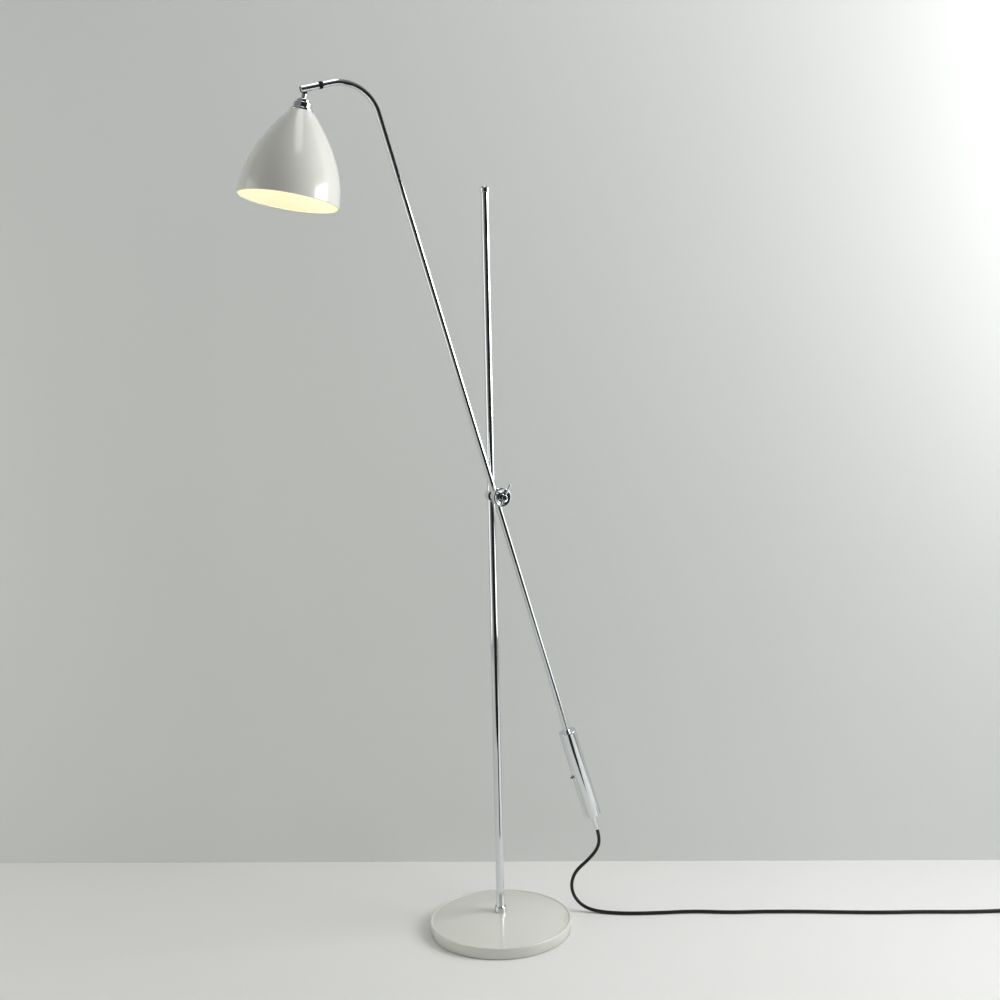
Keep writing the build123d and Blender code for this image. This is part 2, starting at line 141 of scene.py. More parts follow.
def skin(name, rings, looped=False):
    """A mesh over a grid of points, rings (rows, columns, 3). Columns close round, rows
    close when looped is set, and a row that is all one point becomes a pole. u runs
    from 0 to 1 round the piece, and v grows by 1 for each UV_LENGTH along it."""
    rows, columns = rings.shape[:2]
    pole = np.ptp(rings, axis=1).max(axis=1) < POLE_SIZE
    count = np.where(pole, 1, columns)
    first = np.concatenate([[0], np.cumsum(count)[:-1]])
    index = first[:, None] + np.where(pole[:, None], 0, np.arange(columns)[None, :])
    points = np.concatenate([rings[i, :count[i]] for i in range(rows)])
    step = np.linalg.norm(np.diff(rings.mean(axis=1), axis=0), axis=1)
    spread = np.linalg.norm(np.diff(rings[:, 0], axis=0), axis=1)
    v_of = np.concatenate([[0], np.cumsum(np.maximum(step, spread))]) / UV_LENGTH
    a = np.arange(rows if looped else rows - 1)
    b = (a + 1) % rows
    c = np.arange(columns)
    d = (c + 1) % columns
    quad = np.stack([
        index[a][:, c], index[a][:, d], index[b][:, d], index[b][:, c]], axis=-1)
    u0, u1 = c / columns, (c + 1) / columns
    v0, v1 = v_of[a], np.where(b == 0, v_of[a] + CLOSING_V, v_of[b])
    grid = np.ones((len(a), len(c)))
    uv = np.stack([
        np.stack([grid * u0, grid * v0[:, None]], -1),
        np.stack([grid * u1, grid * v0[:, None]], -1),
        np.stack([grid * u1, grid * v1[:, None]], -1),
        np.stack([grid * u0, grid * v1[:, None]], -1)], axis=2)
    quad, uv = quad.reshape(-1, 4), uv.reshape(-1, 4, 2)
    low_pole = quad[:, 0] == quad[:, 1]
    high_pole = quad[:, 2] == quad[:, 3]
    full = ~(low_pole | high_pole)
    faces = quad[full].tolist() + quad[low_pole][:, [0, 2, 3]].tolist()
    faces += quad[high_pole][:, [0, 1, 2]].tolist()
    corners = [
        uv[full].reshape(-1, 2), uv[low_pole][:, [0, 2, 3]].reshape(-1, 2),
        uv[high_pole][:, [0, 1, 2]].reshape(-1, 2)]
    mesh = bpy.data.meshes.new(name)
    mesh.from_pydata(points.tolist(), [], faces)
    layer = mesh.uv_layers.new(name="UVMap")
    layer.data.foreach_set("uv", np.concatenate(corners).astype(np.float32).ravel())
    mesh.shade_smooth()
    mesh.update()
    piece = bpy.data.objects.new(name, mesh)
    bpy.context.scene.collection.objects.link(piece)
    return piece


ARC_SHARE = 0.48          # the most of a side that one corner's arc may take
STRAIGHT = 1e-4           # radians; a corner that turns less is left as a point
FLAT_FROM = 1.2 * MM      # a side longer than this gets a point just past each arc
FLAT_POINT = 0.3 * MM     # how far past


def rounded(corners, looped=False, steps=5):
    """An outline through corners (across, along, rounding). Each corner becomes an arc
    tangent to its two sides, and a point just past each arc keeps the sides flat."""
    p = np.array([c[:2] for c in corners], float)
    sizes = [c[2] if len(c) > 2 else EDGE for c in corners]
    out = []
    last = len(p) - 1
    for i, size in enumerate(sizes):
        if not looped and i in (0, last):
            out.append(p[i][None])
            continue
        into, away = p[i] - p[i - 1], p[(i + 1) % len(p)] - p[i]
        room = ARC_SHARE * min(np.linalg.norm(into), np.linalg.norm(away))
        into, away = into / np.linalg.norm(into), away / np.linalg.norm(away)
        turn = math.atan2(into[0] * away[1] - into[1] * away[0], into @ away)
        if abs(turn) < STRAIGHT:
            out.append(p[i][None])
            continue
        reach = min(size * math.tan(abs(turn) / 2), room)
        radius = reach / math.tan(abs(turn) / 2)
        inward = np.array([-into[1], into[0]]) * math.copysign(1, turn)
        middle = p[i] - into * reach + inward * radius
        angle = np.linspace(0, turn, steps + 1)
        spin = np.stack([np.cos(angle), np.sin(angle)], 1)
        spoke = -inward * radius
        out.append(middle + np.stack([
            spin[:, 0] * spoke[0] - spin[:, 1] * spoke[1],
            spin[:, 1] * spoke[0] + spin[:, 0] * spoke[1]], 1))
    line = []
    for here, after in zip(out, out[1:] + (out[:1] if looped else [])):
        line.append(here)
        gap = after[0] - here[-1]
        length = np.linalg.norm(gap)
        if length > FLAT_FROM:
            near = min(FLAT_POINT, length / 4) / length
            line.append(here[-1] + np.outer([near, 1 - near], gap))
    if not looped:
        line.append(out[-1])
    return np.concatenate(line)


def turned(name, outline, where, segments, looped=False, wave=None):
    """A surface of revolution: the outline (across, along) turned about the third axis
    of where. A point is (across cos angle, across sin angle, along), and
    wave(angle, along) is added to across."""
    angle = np.arange(segments) * 2 * math.pi / segments
    across = np.repeat(outline[:, :1], segments, axis=1)
    if wave is not None:
        shape = wave(angle[None, :], outline[:, 1:2])
        across = np.where(across > POLE_SIZE, across + shape, across)
    rings = np.stack([
        across * np.cos(angle), across * np.sin(angle),
        np.repeat(outline[:, 1:2], segments, axis=1)], axis=-1)
    return skin(name, moved(rings, where), looped=looped)


def frames_along(points):
    """For each point of a path, its direction and two directions across it, carried
    along with no twist."""
    ahead = np.gradient(points, axis=0)
    ahead /= np.linalg.norm(ahead, axis=1)[:, None]
    first = np.cross(ahead[0], [0, 1, 0])
    if np.linalg.norm(first) < 1e-3:
        first = np.cross(ahead[0], [1, 0, 0])
    across = [first / np.linalg.norm(first)]
    for direction in ahead[1:]:
        side = across[-1] - direction * (across[-1] @ direction)
        across.append(side / np.linalg.norm(side))
    across = np.array(across)
    return ahead, across, np.cross(ahead, across)


# The last four rings at a bar's end, as shares of its radius: how wide each ring is and
# how far it lies back from the end.
END_WIDE = np.array([0.0, 0.8, 0.95, 1.0])
END_BACK = np.array([0.0, 0.0, 0.06, 0.2])


def swept(name, points, radius, columns):
    """A round bar along a path of points: each ring is its path point plus radius times
    (one cos angle + two sin angle), with one and two square to the path. The ends are
    closed and just rounded."""
    ahead, one, two = frames_along(points)
    back = END_BACK * radius
    rows = np.concatenate([
        points[0] + ahead[0] * back[:, None], points[1:-1],
        points[-1] - ahead[-1] * back[::-1, None]])
    size = radius * np.concatenate([END_WIDE, np.ones(len(points) - 2), END_WIDE[::-1]])
    last, rings = len(points) - 1, len(END_WIDE)
    pick = np.concatenate([[0] * rings, np.arange(1, last), [last] * rings])
    angle = np.arange(columns)[:, None] * 2 * math.pi / columns
    spoke = one[pick][:, None] * np.cos(angle) + two[pick][:, None] * np.sin(angle)
    return skin(name, rows[:, None] + spoke * size[:, None, None])


def finish_piece(piece, body, material, slot, *nodes):
    """Gives a piece its material, the body it rides on and the CAD nodes it replaces."""
    piece.data.materials.clear()
    piece.data.materials.append(material)
    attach(piece, body)
    if nodes:
        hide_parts(*nodes)


# ------------------------------------------------------------------ materials
def linear(text):
    """An sRGB hex colour as linear red, green, blue and alpha."""
    parts = [int(text[i:i + 2], 16) / 255 for i in (1, 3, 5)]
    return [
        p / 12.92 if p <= 0.04045 else ((p + 0.055) / 1.055) ** 2.4 for p in parts] + [1.0]


def add(tree, kind, inputs=None, **settings):
    """Adds a node. inputs maps a socket's name or number to a value or to a socket."""
    node = tree.nodes.new(kind)
    for key, value in settings.items():
        setattr(node, key, value)
    for key, value in (inputs or {}).items():
        if isinstance(value, bpy.types.NodeSocket):
            tree.links.new(value, node.inputs[key])
        else:
            node.inputs[key].default_value = value
    return node


def started(name):
    """A new material, its tree, its surface shader and its Object coordinates."""
    material = bpy.data.materials.new(name)
    material.use_nodes = True
    tree = material.node_tree
    coords = add(tree, "ShaderNodeTexCoord").outputs["Object"]
    return material, tree, tree.nodes["Principled BSDF"], coords


def speckle(tree, vector, size_mm, detail=2.0):
    """Noise from 0 to 1 whose grain is about size_mm across."""
    noise = add(tree, "ShaderNodeTexNoise", {
        "Vector": vector, "Scale": 1000.0 / size_mm, "Detail": detail, "Roughness": 0.5})
    return noise.outputs["Fac"]


def roughened(tree, shader, noise, low, high):
    """Roughness that follows a noise: its usual span, 0.3 to 0.7, becomes low to high."""
    level = add(tree, "ShaderNodeMapRange", {
        "Value": noise, "From Min": 0.3, "From Max": 0.7, "To Min": low, "To Max": high})
    tree.links.new(level.outputs["Result"], shader.inputs["Roughness"])


def bumped(tree, shader, noise, depth_mm, strength):
    """Relief that follows a noise, depth_mm deep before its strength."""
    bump = add(tree, "ShaderNodeBump", {
        "Height": noise, "Distance": depth_mm * MM, "Strength": strength})
    tree.links.new(bump.outputs["Normal"], shader.inputs["Normal"])


def tinted(tree, shader, noise, dark, light):
    """A base colour that drifts between two close colours with a noise."""
    mix = add(tree, "ShaderNodeMix", {
        0: noise, 6: linear(dark), 7: linear(light)}, data_type="RGBA")
    tree.links.new(mix.outputs[2], shader.inputs["Base Color"])


def chrome_plate(colour):
    """Chromium plate over buffed steel: almost a mirror, slightly cool, with a faint
    haze in patches and buffing lines. The lines are finer than 0.6 mm on a real tube and
    are drawn that coarse, so that they soften its reflections."""
    material, tree, shader, coords = started("buffed_chrome_plate")
    shader.inputs["Base Color"].default_value = linear(colour)
    shader.inputs["Metallic"].default_value = 1.0
    roughened(tree, shader, speckle(tree, coords, 14.0, 3.0), 0.035, 0.085)
    buffing = add(tree, "ShaderNodeMapping", {"Vector": coords, "Scale": (1.0, 1.0, 0.08)})
    bumped(tree, shader, speckle(tree, buffing.outputs["Vector"], 0.6), 0.004, 0.25)
    return material


def stove_enamel(name, colour, shade, rough=0.22, coat=0.7):
    """Gloss enamel sprayed on spun metal and stoved: a soft body colour under a clear
    gloss, with a faint orange peel about 2 mm across."""
    material, tree, shader, coords = started(name)
    tinted(tree, shader, speckle(tree, coords, 60.0), shade, colour)
    shader.inputs["Roughness"].default_value = rough
    shader.inputs["IOR"].default_value = 1.5
    shader.inputs["Coat Weight"].default_value = coat
    shader.inputs["Coat Roughness"].default_value = 0.06
    bumped(tree, shader, speckle(tree, coords, 2.2, 1.0), 0.015, 0.35)
    return material


def moulded(name, colour, light, rough, grain_mm, depth_mm):
    """A satin skin that drifts a little in colour and gloss every 25 mm or so, with a
    grain as fine as the mould, the die, the lathe or the press left it."""
    material, tree, shader, coords = started(name)
    cloud = speckle(tree, coords, 25.0)
    tinted(tree, shader, cloud, colour, light)
    roughened(tree, shader, cloud, rough * 0.85, rough * 1.15)
    bumped(tree, shader, speckle(tree, coords, grain_mm, 3.0), depth_mm, 0.5)
    return material


def worked_metal(name, colour, rough, grain_mm, depth_mm):
    """Bare or plated metal with the marks of how it was made: fine turning marks, or
    the pitted skin that a sand mould leaves."""
    material, tree, shader, coords = started(name)
    shader.inputs["Metallic"].default_value = 1.0
    shader.inputs["Base Color"].default_value = linear(colour)
    marks = speckle(tree, coords, grain_mm, 4.0)
    roughened(tree, shader, marks, rough * 0.7, rough * 1.3)
    bumped(tree, shader, marks, depth_mm, 0.6)
    return material


def opal_glass(colour, strength):
    """Opal-dipped lamp glass, lit from inside: a warm, even white glow that hides the
    lamp's inside."""
    material, tree, shader, coords = started("opal_dipped_glass")
    shader.inputs["Roughness"].default_value = 0.25
    shader.inputs["IOR"].default_value = 1.5
    tinted(tree, shader, speckle(tree, coords, 8.0), "#FFEFD0", "#FFF9EA")
    shader.inputs["Emission Color"].default_value = linear(colour)
    shader.inputs["Emission Strength"].default_value = strength
    return material


MATERIALS = {}


def make_materials(colours, glow):
    """Every finish of the lamp, by the name that the pieces use."""
    m = MATERIALS
    m["chrome"] = chrome_plate(colours.chrome)
    # A stone-white gloss outside, and a whiter satin inside that spreads the light.
    m["enamel"] = stove_enamel("stoved_stone_enamel", colours.enamel, colours.enamel_shade)
    m["lining"] = stove_enamel("stoved_white_lining", "#F6F3E8", "#EFECDF", rough=0.5, coat=0.15)
    # The lead's dull even black, phenolic's harder shine, and felt with no shine at all.
    m["lead"] = moulded("extruded_black_pvc", "#050506", "#09090A", 0.5, 0.8, 0.015)
    m["black"] = moulded("moulded_black_phenolic", "#0E0E0F", "#171718", 0.3, 1.2, 0.01)
    m["felt"] = moulded("pressed_black_felt", "#111112", "#26262A", 0.95, 0.5, 0.3)
    # Milky liners with a soft sheen, and a chalky fired insulator.
    m["nylon"] = moulded("turned_natural_nylon", "#CFCBBC", "#D9D6CA", 0.45, 1.0, 0.02)
    m["ceramic"] = moulded("fired_steatite", "#DAD5C6", "#E6E2D6", 0.5, 0.8, 0.03)
    # A dark pitted casting, dull grey fixings, near-black fittings and bright brass.
    m["iron"] = worked_metal("sand_cast_iron", "#2C2B29", 0.7, 1.6, 0.25)
    m["steel"] = worked_metal("zinc_plated_steel", "#A9ABAC", 0.35, 0.6, 0.01)
    m["dark"] = worked_metal("blackened_steel", "#2A2B2D", 0.35, 0.8, 0.02)
    m["brass"] = worked_metal("turned_brass", "#C9A255", 0.22, 0.5, 0.01)
    m["opal"] = opal_glass(colours.glow, glow)


# ------------------------------------------------------------------ the lead
# The route's points lie on a line down the middle of the lead, in metres.
OUTLET_END = PIVOT - ARM_UP * (WEIGHT_START + WEIGHT_L + OUTLET_L)
LEAD_ROUTE = [
    tuple(OUTLET_END),
    (0.1757, -0.0150, 0.1203),
    (0.1725, -0.0140, 0.1025),
    (0.1570, -0.0080, 0.0840),
    (0.1380, 0.0005, 0.0670),
    (0.1305, 0.0040, 0.0460),
    (0.1340, 0.0020, 0.0250),
    (0.1460, -0.0060, 0.0090),
    (0.1630, -0.0230, LEAD_R),
    (0.1980, -0.0510, LEAD_R),
    (0.2480, -0.0750, LEAD_R),
    (0.3030, -0.0970, LEAD_R),
    (0.3500, -0.1280, LEAD_R),
    (0.4040, -0.1530, LEAD_R),
    (0.4570, -0.1820, LEAD_R),
    (0.5110, -0.2140, LEAD_R),
    (0.5670, -0.2460, LEAD_R),
    (0.6230, -0.2730, LEAD_R),
    (0.6750, -0.3020, LEAD_R),
    (0.7200, -0.3235, LEAD_R),
    (0.7570, -0.3410, LEAD_R + 1.2 * MM),
]
COIL_MIDDLE = Vector((0.7930, -0.3935, 0.0))
COIL_OUT_R = 36 * MM
COIL_IN_R = 25 * MM
COIL_LOW = 1.2 * MM
COIL_STEPS = 20           # points in each turn
COIL_COLUMNS = [          # each turn's distance from the middle at its start, and the end's
    COIL_OUT_R, COIL_OUT_R - LEAD_D, COIL_IN_R, COIL_IN_R, COIL_OUT_R - LEAD_D, COIL_OUT_R,
    COIL_OUT_R + LEAD_D]
COIL_MOVES = [0.6, 0.6, 0.5, 0.1, 0.1, 0.1]  # where in each turn it starts to move across
COIL_MOVE_SHARE = 0.4     # how much of the turn that takes
COIL_CLIMB = 2            # the turn, from 0, in which the lead climbs onto the top layer
TAIL_REACH = 68.6 * MM    # from the coil's edge to the plug's relief
PLUG_HALF = 6.8 * MM
ROUTE_STEPS = 14          # points read back for each point of the route
SAME_POINT = 1e-6         # metres; points nearer than this count as one


def coil_start():
    """Where the lead's line touches the coil's outer turn, and its heading there."""
    last = Vector(LEAD_ROUTE[-1])
    to_middle = Vector((COIL_MIDDLE.x - last.x, COIL_MIDDLE.y - last.y, 0))
    reach = math.sqrt(to_middle.length ** 2 - COIL_OUT_R ** 2)
    lean = math.asin(COIL_OUT_R / to_middle.length)
    heading = Matrix.Rotation(lean, 3, "Z") @ to_middle.normalized()
    return last + heading * reach, heading


def smooth_step(value):
    """From 0 to 1 with level ends: three times the square less twice the cube."""
    value = min(max(value, 0.0), 1.0)
    return value * value * (3 - 2 * value)


def coil_turns():
    """Six turns as more points of the route: three inwards on the floor, a climb during
    the third, and three outwards on top. The points stand a little outside the turns,
    because the spline passes inside its points."""
    touch, _ = coil_start()
    start = math.atan2(touch.y - COIL_MIDDLE.y, touch.x - COIL_MIDDLE.x)
    wide = 1 / math.cos(math.pi / COIL_STEPS)
    turns = len(COIL_MOVES)
    points = []
    for k in range(turns * COIL_STEPS + 1):
        turn = min(k // COIL_STEPS, turns - 1)
        part = k / COIL_STEPS - turn
        ease = smooth_step((part - COIL_MOVES[turn]) / COIL_MOVE_SHARE)
        here, after = COIL_COLUMNS[turn:turn + 2]
        radius = here + (after - here) * ease
        layer = ease if turn == COIL_CLIMB else float(turn > COIL_CLIMB)
        angle = start - 2 * math.pi * k / COIL_STEPS
        points.append((
            COIL_MIDDLE.x + wide * radius * math.cos(angle),
            COIL_MIDDLE.y + wide * radius * math.sin(angle),
            COIL_LOW + LEAD_R + LEAD_D * layer))
    return points


def tail_points():
    """The route's end, from the coil's top layer down to the plug. Each point lies some
    way along the heading, and some share of a diameter out from the coil's edge."""
    touch, heading = coil_start()
    edge = touch - heading.cross(Vector((0, 0, 1))) * LEAD_D
    high = COIL_LOW + LEAD_R + LEAD_D
    points = []
    for reach, out, height in (
            (15 * MM, 1.0, high), (32 * MM, 0.6, high - 0.6 * MM),
            (51 * MM, 0.0, PLUG_HALF + 0.2 * MM), (TAIL_REACH, 0.0, PLUG_HALF)):
        spot = edge * out + touch * (1 - out) + heading * reach
        points.append((spot.x, spot.y, height))
    return points


def route_line():
    """The whole route as one smooth spline, read back as close points."""
    points = LEAD_ROUTE + coil_turns() + tail_points()
    curve = bpy.data.curves.new("route", "CURVE")
    curve.dimensions = "3D"
    curve.resolution_u = ROUTE_STEPS
    spline = curve.splines.new("NURBS")
    spline.points.add(len(points) - 1)
    spline.points.foreach_set("co", np.array([(*p, 1.0) for p in points], np.float32).ravel())
    spline.order_u = 3
    spline.use_endpoint_u = True
    holder = bpy.data.objects.new("route", curve)
    line = bpy.data.meshes.new_from_object(holder)
    co = np.zeros(len(line.vertices) * 3)
    line.vertices.foreach_get("co", co)
    bpy.data.objects.remove(holder)
    bpy.data.meshes.remove(line)
    bpy.data.curves.remove(curve)
    co = co.reshape(-1, 3)
    apart = np.linalg.norm(np.diff(co, axis=0), axis=1) > SAME_POINT
    return co[np.concatenate([[True], apart])]


def lengths_along(line):
    """The distance along a line of points to each of them."""
    return np.concatenate([[0], np.cumsum(np.linalg.norm(np.diff(line, axis=0), axis=1))])


def cut_line(line, start, stop, step):
    """The stretch of a line between two distances along it, in even steps."""
    along = lengths_along(line)
    stop = min(stop, along[-1])
    at = np.linspace(start, stop, int(round((stop - start) / step)) + 1)
    return np.stack([np.interp(at, along, line[:, k]) for k in range(3)], axis=1)


# The drop runs from the arm's outlet down to the floor, cut into stretches, one across
# # each joint between a near and a far body. (name, from, to, near body, far body)
LEAD_STRETCHES = [
    ("lead_at_outlet", 0.0000, 0.0332, "arm", "arm_sleeve"),
    ("lead_below_outlet", 0.0332, 0.0664, "arm_sleeve", "eye"),
    ("lead_drop", 0.0664, 0.1000, "eye", "clamp"),
    ("lead_foot", 0.1000, 0.2450, "clamp", "stem_sleeve"),
    ("lead_rise", 0.2450, 0.6000, "stem_sleeve", "base"),
]
LEAD_LAID_FROM = 0.6000
LEAD_SIDES = 20           # round the lead
DROP_STEP = 1.5 * MM      # between its rings, in the drop and where it lies
LAID_STEP = 1.6 * MM


def make_lead(diameter):
    """The mains lead, a round bar along the route, in stretches that meet end to end."""
    line = route_line()
    for name, start, stop, near, far in LEAD_STRETCHES:
        points = cut_line(line, start, stop, DROP_STEP)
        piece = swept(name, points, diameter / 2, LEAD_SIDES)
        piece.data.materials.append(MATERIALS["lead"])
        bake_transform(piece)
    total = lengths_along(line)[-1]
    points = cut_line(line, LEAD_LAID_FROM, total, LAID_STEP)
    laid = swept("lead_laid", points, diameter / 2, LEAD_SIDES)
    finish_piece(
        laid, "base", MATERIALS["lead"], "black_lead", "cord_lead", "cord_coil", "cord_tail")


# ------------------------------------------------------------------ turned and bent pieces
def make_base():
    """The cover: a plain wall, a thin rolled bead at its top, a faint groove inside the
    bead and a shallow dome, whose fall grows with the square of the distance out."""
    foot, edge_z, bead, wall = 0.8 * MM, 17.8 * MM, 1.9 * MM, 2.0 * MM
    groove, groove_wide, hole = edge_z - 1.1 * MM, 1.0 * MM, 5.2 * MM
    middle = edge_z - bead
    r = BASE_R
    stop = math.pi - math.asin((groove - middle) / bead)
    turn = np.linspace(0, stop, 17)
    bead_line = np.stack([r - bead + bead * np.cos(turn), middle + bead * np.sin(turn)], 1)
    dome_edge = bead_line[-1, 0] - groove_wide
    across = dome_edge + (hole - dome_edge) * np.linspace(0, 1, 48)
    dome = np.stack([across, BASE_TOP - (BASE_TOP - groove) * (across / dome_edge) ** 2], 1)
    inside = dome[::-1] - np.array([0, wall])
    inside[-1] = (dome_edge - wall, groove - wall)
    ease = 0.4 * MM
    rest = np.array([
        (r - wall, groove - wall), (r - wall, foot + ease), (r - wall, foot),
        (r - ease, foot), (r, foot + ease), (r, middle - ease)])
    outline = np.concatenate([bead_line, dome, inside, rest])
    cover = turned("base_enamel_cover", outline, UPRIGHT, 160, looped=True)
    finish_piece(cover, "base", MATERIALS["enamel"], "cream_paint", "base_cover")


def make_stem():
    """A tube with square ends, a foot collar rounded at its top, and a domed cap whose
    plug fills the tube's mouth. All three are turned outlines."""
    tube = rounded([
        (STEM_BORE, STEM_FOOT), (STEM_R, STEM_FOOT), (STEM_R, STEM_TOP),
        (STEM_BORE, STEM_TOP)], looped=True)
    piece = turned("stem_chromed_tube", tube, UPRIGHT, 64, looped=True)
    finish_piece(piece, "base", MATERIALS["chrome"], "chrome", "stem_tube")
    collar_r, collar_top = 9.7 * MM, STEM_FOOT + 8.6 * MM
    collar = rounded([
        (STEM_R, STEM_FOOT), (collar_r, STEM_FOOT, 1.0 * MM),
        (collar_r, collar_top, 3.1 * MM), (STEM_R, collar_top)], looped=True, steps=8)
    piece = turned("stem_foot_collar", collar, UPRIGHT, 64, looped=True)
    finish_piece(piece, "base", MATERIALS["chrome"], "chrome", "stem_collar")
    cap_r, cap_top, plug_foot = 8.3 * MM, STEM_TOP + 10.2 * MM, STEM_TOP - 14 * MM
    cap = rounded([
        (0, plug_foot), (STEM_BORE, plug_foot), (STEM_BORE, STEM_TOP),
        (cap_r, STEM_TOP, 0.8 * MM), (cap_r, cap_top, 4.6 * MM), (0, cap_top)], steps=10)
    piece = turned("stem_top_cap", cap, UPRIGHT, 64)
    finish_piece(piece, "base", MATERIALS["chrome"], "chrome", "stem_cap")


def make_clamp():
    """The knob is a dished disc with a boss, turned in one piece with its shank. The
    tommy bar runs through the boss and has a stop ring near each end."""
    shank_r, shank_from, shank_to = 5.6 * MM, 26.0 * MM, 30.0 * MM
    boss_r, dish_z = 4.6 * MM, 37.9 * MM
    knob = rounded([
        (0, shank_from), (shank_r, shank_from), (shank_r, shank_to, 1.0 * MM),
        (8.0 * MM, KNOB_BACK, 1.0 * MM), (KNOB_R, KNOB_BACK, 1.6 * MM),
        (KNOB_R, KNOB_FACE, 1.2 * MM), (12.8 * MM, KNOB_FACE, 1.0 * MM),
        (8.2 * MM, dish_z, 2.0 * MM), (boss_r, dish_z, 0.8 * MM),
        (boss_r, KNOB_TIP, 0.9 * MM), (0, KNOB_TIP)], steps=7)
    piece = turned("clamp_dished_knob", knob, CLAMP, 72)
    finish_piece(piece, "knob", MATERIALS["chrome"], "chrome", "clamp_knob", "clamp_screw")
    bar_at = 46 * MM      # from the stem's axis, just inside the boss's end
    bar = place((0, -bar_at, PIVOT.z), JOINTS["bar_slide"]["axis"])
    low, high = -12.0 * MM, 22.5 * MM
    stop_near, stop_far, ease = 0.6 * MM, 2.8 * MM, 0.5 * MM
    outline = rounded([
        (0, low), (BAR_R, low, ease),
        (BAR_R, low + stop_near), (BAR_STOP_R, low + stop_near, ease),
        (BAR_STOP_R, low + stop_far, ease), (BAR_R, low + stop_far),
        (BAR_R, high - stop_far), (BAR_STOP_R, high - stop_far, ease),
        (BAR_STOP_R, high - stop_near, ease), (BAR_R, high - stop_near),
        (BAR_R, high, ease), (0, high)], steps=4)
    piece = turned("clamp_tommy_bar", outline, bar, 32)
    finish_piece(piece, "bar", MATERIALS["chrome"], "chrome", "tommy_bar", "bar_stops")


def arm_line(start):
    """The arm's centreline in the row frame: straight from start, an arc of BEND_R, and
    a short straight end."""
    across = Vector((0, 1, 0)).cross(ARM_UP).normalized() * -1
    bend_from = PIVOT + ARM_UP * BEND_START
    middle = bend_from + across * BEND_R
    turn = math.acos(max(-1.0, min(1.0, ARM_UP.dot(KNUCKLE_OUT))))
    angle = np.linspace(0, turn, 60)
    spoke, tangent = np.array(-across), np.array(ARM_UP)
    bend = np.array(middle) + BEND_R * (
        np.outer(np.cos(angle), spoke) + np.outer(np.sin(angle), tangent))
    below = np.array(PIVOT) + np.outer(np.linspace(start, BEND_START, 160)[:-1], tangent)
    end = bend[-1] + np.outer(np.linspace(0, END_STRAIGHT, 8)[1:], np.array(KNUCKLE_OUT))
    return np.concatenate([below, bend, end])


def make_arm():
    """The arm is a round bar along its centreline, since its ends are never open to
    view, and the locking ring is a turned outline with a knurl round it."""
    into_weight = 32 * MM
    line = arm_line(-WEIGHT_START - into_weight)
    piece = swept("arm_bent_tube", line, ARM_R, 48)
    finish_piece(piece, "arm", MATERIALS["chrome"], "chrome", "arm_tube", "arm_flex")
    bore, ring_r, ring_l = 4.0 * MM, 5.4 * MM, 6.0 * MM
    ridges, ridge_high, fade = 26, 0.22 * MM, 0.8 * MM

    def knurl(angle, along):
        """The cosine of ridges times the angle, fading to nothing at both rims."""
        level = np.clip(np.minimum(along, ring_l - along) / fade, 0, 1)
        return ridge_high * np.cos(ridges * angle) * level

    between = [(ring_r, ring_l * share) for share in (0.25, 0.5, 0.75)]
    ring = rounded([
        (bore, 0), (ring_r, 0, 0.5 * MM), *between, (ring_r, ring_l, 0.5 * MM),
        (bore, ring_l)], looped=True)
    piece = turned("arm_knurled_ring", ring, KNUCKLE, 8 * ridges, looped=True, wave=knurl)
    finish_piece(piece, "arm", MATERIALS["dark"], "dark_metal", "lock_ring")


